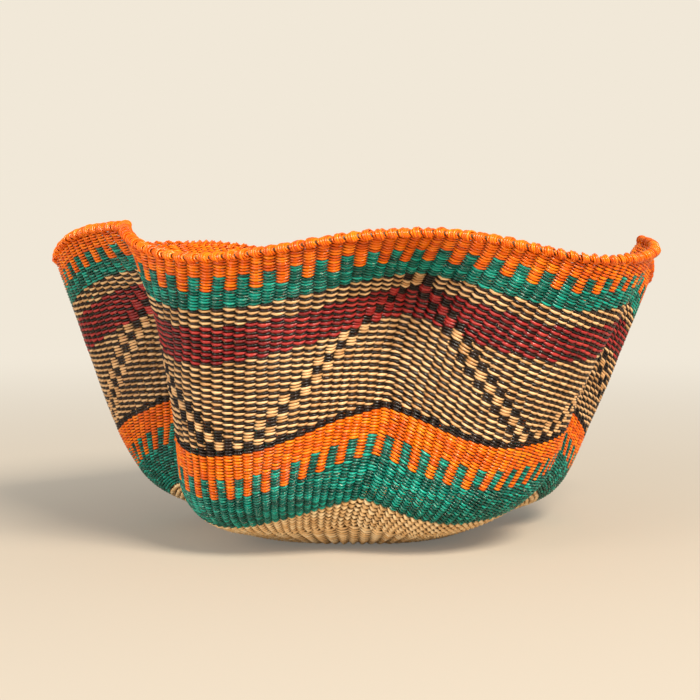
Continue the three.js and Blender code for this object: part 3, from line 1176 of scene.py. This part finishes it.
@dataclass(frozen=True)
class Rim:
    """The bundle of stake ends along the rim and the grass wound over it.

    The wrapping's places are where its strands lie beside a stake, in columns. Out and up are how
    far they lie from the rim's middle at least, and the crown is how much further they lie over a
    stake, falling to nothing at the half. Lean is how far a turn slants along, in columns.
    """

    weaver: Weaver
    core_material: bpy.types.Material
    sides: int = 5
    core_strands: int = 6
    core_radius: float = 0.9
    core_width: float = 1.4
    core_parts: int = 2
    core_twists: int = 5
    core_tint: float = 0.5
    # Painted shade: a low lit level, so that the gap colour darkens the bundle under the wrapping.
    core_lit_level: float = 0.15
    wrap_parts: int = 14
    wrap_places: tuple = (-0.33, -0.165, 0.0, 0.165, 0.33)
    wrap_half: float = 0.45
    wrap_out: float = 1.4
    wrap_up: float = 0.7
    wrap_lift: float = 1.0
    wrap_thickness: float = 1.6
    wrap_width: float = 1.9
    wrap_crown: float = 2.2
    wrap_uneven: float = 0.35
    wrap_lean: float = 0.7
    wrap_shift: float = 10.0
    wrap_tint: float = 0.8

    def frames(self, columns: np.ndarray) -> tuple[np.ndarray, ...]:
        """Reads the wall's frames along the rim."""
        wall = self.weaver.wall
        return wall.frames(columns, np.full(len(columns), wall.shape.stake_length))

    def bundle(self) -> bpy.types.Object:
        """Makes the bundle of strands that runs inside the wrapping.

        Returns:
            The finished piece.
        """
        tube = RingTube(STAKE_COUNT * self.core_parts, self.sides)
        bm = bmesh.new()
        parts = []
        section = np.arange(tube.sections)
        frames = self.frames(section / self.core_parts)
        spot = tube.section
        half = self.core_width / 2
        for i in range(self.core_strands):
            bm.from_mesh(tube.mesh)
            turn = TURN * (i / self.core_strands + section / tube.sections * self.core_twists)
            deep = self.core_radius * np.cos(turn)
            high = self.wrap_lift + self.core_radius * np.sin(turn)
            offset_out = deep[spot] + half * np.cos(tube.angle)
            offset_up = high[spot] + half * np.sin(tube.angle)
            strides = tube.corner_section / self.core_parts
            faces = np.full(len(tube.face_section), self.core_tint)
            laid = Laid(
                points=tube.laid(frames, offset_out, offset_up),
                places=np.stack([strides, tube.corner_around], axis=1),
                tints=faces,
                lit_levels=np.full(len(spot), self.core_lit_level),
                dyes=faces,
            )
            parts.append(laid)
        return make_piece("rim_bundle", bm, Laid.joined(parts), [self.core_material])

    def wrapping(self) -> bpy.types.Object:
        """Makes the wrapping, five strands side by side and one turn to each stake.

        Returns:
            The finished piece.
        """
        tube = RingTube(STAKE_COUNT * self.wrap_parts, self.sides)
        bm = bmesh.new()
        parts = []
        section = np.arange(tube.sections)
        turn = TURN * section / self.wrap_parts
        stake_of = section // self.wrap_parts
        spot = tube.section
        for place in self.wrap_places:
            bm.from_mesh(tube.mesh)
            uneven = self.weaver.scatter(STAKE_COUNT, self.wrap_uneven)
            crown = self.wrap_crown * (1 - (place / self.wrap_half) ** 2) + uneven[stake_of]
            lean = self.wrap_lean * np.sin(turn) / 2
            at, out, round_, up = self.frames(section / self.wrap_parts + place - lean)
            radial = out * np.cos(turn)[:, None] + up * np.sin(turn)[:, None]
            deep = (self.wrap_out + crown) * np.cos(turn)
            high = self.wrap_lift + (self.wrap_up + crown) * np.sin(turn)
            middle = at + out * deep[:, None] + up * high[:, None]
            thick = self.wrap_thickness / 2 * np.cos(tube.angle)[:, None]
            wide = self.wrap_width / 2 * np.sin(tube.angle)[:, None]
            strides = tube.corner_section / self.wrap_parts * 2 + self.wrap_shift * place
            stake = tube.face_section // self.wrap_parts % STAKE_COUNT
            tints = self.wrap_tint * self.weaver.random.random(STAKE_COUNT)[stake]
            # Painted shade: the gap colour darkens a strand's inner side and the rim's underside,
            # and the side strands of a knob more than its middle one, whose crown is higher.
            outer, upper = 0.2 * np.cos(tube.angle), 0.35 * np.sin(turn[spot])
            laid = Laid(
                points=middle[spot] + radial[spot] * thick + round_[spot] * wide,
                places=np.stack([strides, tube.corner_around], axis=1),
                tints=tints,
                lit_levels=0.5 + outer + upper + 0.25 * crown[spot],
                dyes=tints,
            )
            parts.append(laid)
        orange = self.weaver.materials[Dye.ORANGE]
        return make_piece("rim_wrapping", bm, Laid.joined(parts), [orange])

    def build(self) -> None:
        """Builds the bundle and its wrapping."""
        fit_piece(self.bundle(), "undyed_stake", "rim_core")
        fit_piece(self.wrapping(), "orange_grass", "rim_wrap")


@dataclass(frozen=True)
class Lamp:
    """A soft square lamp that faces the basket: its size in millimetres and its power in watts."""

    name: str
    place: tuple
    size: float
    power: float
    colour: str


@dataclass(frozen=True)
class Studio:
    """The pale floor, the soft lamps and the camera at the photograph's angle.

    The clip, the aim and the floor's blend are in metres. The blend says between which reaches
    the floor goes over into the backdrop's glow; it starts below nothing, so that the glow paints
    light into the basket's cast shadow and keeps it pale.
    """

    camera_place: tuple = (1.1, -1381.7, 227.8)
    camera_pitch: float = 3.81
    focal_pixels: float = 1830.2
    image_pixels: float = 700.0
    shift_pixels: float = 4.35
    sensor: float = 36.0
    far_clip: float = 50.0
    aim: tuple = (0, 0, 0.1)
    floor_half: float = 9000.0
    floor_colour: str = "b2a797"
    floor_roughness: float = 0.8
    floor_blend: tuple = (-0.6, 2.0)
    world_colour: str = "fbf7f0"
    world_level: float = 0.42
    backdrop_colour: str = "f1e8d8"
    lamps: tuple = (
        Lamp("key_lamp", (1500, -2300, 2900), 1500, 285, "fff3e2"),
        Lamp("fill_lamp", (-2600, -2200, 1000), 2400, 75, "fff6ea"),
    )

    def camera(self) -> None:
        """Sets the camera where the photograph was taken from."""
        data = bpy.data.cameras.new("camera")
        data.sensor_width = self.sensor
        data.lens = self.focal_pixels / self.image_pixels * self.sensor
        data.shift_x = -self.shift_pixels / self.image_pixels
        data.clip_end = self.far_clip
        camera = bpy.data.objects.new("camera", data)
        camera.location = Vector(self.camera_place) * METRES_PER_MM
        camera.rotation_euler = (math.radians(90 - self.camera_pitch), 0, 0)
        bpy.context.scene.collection.objects.link(camera)
        bpy.context.scene.camera = camera

    def light(self, lamp: Lamp) -> None:
        """Puts one lamp into the scene.

        Args:
            lamp: The lamp.
        """
        data = bpy.data.lights.new(lamp.name, "AREA")
        data.size = lamp.size * METRES_PER_MM
        data.energy = lamp.power
        data.color = linear_colour(lamp.colour)[:3]
        light = bpy.data.objects.new(lamp.name, data)
        light.location = Vector(lamp.place) * METRES_PER_MM
        way = Vector(self.aim) - light.location
        light.rotation_euler = way.to_track_quat("-Z", "Y").to_euler()
        bpy.context.scene.collection.objects.link(light)

    def floor(self) -> None:
        """Lays the pale floor."""
        bm = bmesh.new()
        half = self.floor_half * METRES_PER_MM
        bmesh.ops.create_grid(bm, x_segments=1, y_segments=1, size=half)
        mesh = bpy.data.meshes.new("floor")
        bm.to_mesh(mesh)
        bm.free()
        mesh.materials.append(self.floor_paint())
        add_object("floor", mesh)

    def floor_paint(self) -> bpy.types.Material:
        """Builds matt paint that goes over into the backdrop, so that no edge shows.

        Only the camera sees the backdrop's glow in it, so that it puts no light on the basket. The
        glow is mixed in from under the basket on, so it also paints light into the basket's shadow.

        Returns:
            The finished material.
        """
        material = bpy.data.materials.new("pale_painted_floor")
        material.use_nodes = True
        tree = material.node_tree
        tree.nodes.clear()
        paint = {"Base Color": linear_colour(self.floor_colour), "Roughness": self.floor_roughness}
        shader = add_node(tree, "ShaderNodeBsdfPrincipled", paint, {})
        glow = {"Color": linear_colour(self.backdrop_colour)}
        backdrop_glow = add_node(tree, "ShaderNodeEmission", glow, {})
        where = add_node(tree, "ShaderNodeTexCoord", {}, {})
        length = {"operation": "LENGTH"}
        reach = add_node(tree, "ShaderNodeVectorMath", length, {0: where.outputs["Object"]})
        start, end = self.floor_blend
        smooth = {"interpolation_type": "SMOOTHSTEP", "From Min": start, "From Max": end}
        blend = add_node(tree, "ShaderNodeMapRange", smooth, {"Value": reach.outputs["Value"]})
        path = add_node(tree, "ShaderNodeLightPath", {}, {})
        # Painted light: the backdrop's glow is mixed into the floor from under the basket out, so
        # the camera sees the basket's shadow paler.
        seen = add_node(
            tree,
            "ShaderNodeMath",
            {"operation": "MULTIPLY"},
            {0: blend.outputs["Result"], 1: path.outputs["Is Camera Ray"]},
        )
        surface = add_node(
            tree,
            "ShaderNodeMixShader",
            {},
            {0: seen.outputs["Value"], 1: shader.outputs["BSDF"], 2: backdrop_glow.outputs["Emission"]},
        )
        add_node(tree, "ShaderNodeOutputMaterial", {}, {"Surface": surface.outputs["Shader"]})
        return material

    def world(self) -> None:
        """Lights the scene from all sides and shows the camera the backdrop."""
        world = bpy.data.worlds.new("studio_air")
        world.use_nodes = True
        tree = world.node_tree
        tree.nodes.clear()
        sky = add_node(
            tree,
            "ShaderNodeBackground",
            {"Color": linear_colour(self.world_colour), "Strength": self.world_level},
            {},
        )
        behind = {"Color": linear_colour(self.backdrop_colour)}
        backdrop = add_node(tree, "ShaderNodeBackground", behind, {})
        path = add_node(tree, "ShaderNodeLightPath", {}, {})
        seen = add_node(
            tree,
            "ShaderNodeMixShader",
            {},
            {
                0: path.outputs["Is Camera Ray"],
                1: sky.outputs["Background"],
                2: backdrop.outputs["Background"],
            },
        )
        add_node(tree, "ShaderNodeOutputWorld", {}, {"Surface": seen.outputs["Shader"]})
        bpy.context.scene.world = world

    def build(self) -> None:
        """Builds the whole studio."""
        bpy.context.scene.view_settings.view_transform = "Standard"
        self.camera()
        self.floor()
        self.world()
        for lamp in self.lamps:
            self.light(lamp)


def main() -> None:
    """Builds the basket on the frame, then the studio round it."""
    logging.basicConfig(level=logging.INFO, format="%(message)s")
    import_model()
    materials = {dye: finish.material() for dye, finish in FINISHES.items()}
    stake_material = STAKE_FINISH.material()
    wall = Wall(WallShape())
    weaver = Weaver(wall, Twine(), materials)
    base_materials = {**materials, Dye.STRAW: BASE_FINISH.material()}
    StrawBase(Weaver(wall, BASE_TWINE, base_materials)).build()
    DyedWall(weaver, Pattern()).build()
    Stakes(wall, stake_material).build()
    Rim(weaver, stake_material).build()
    Studio().build()
    bpy.context.view_layer.update()


if __name__ == "__main__":
    main()
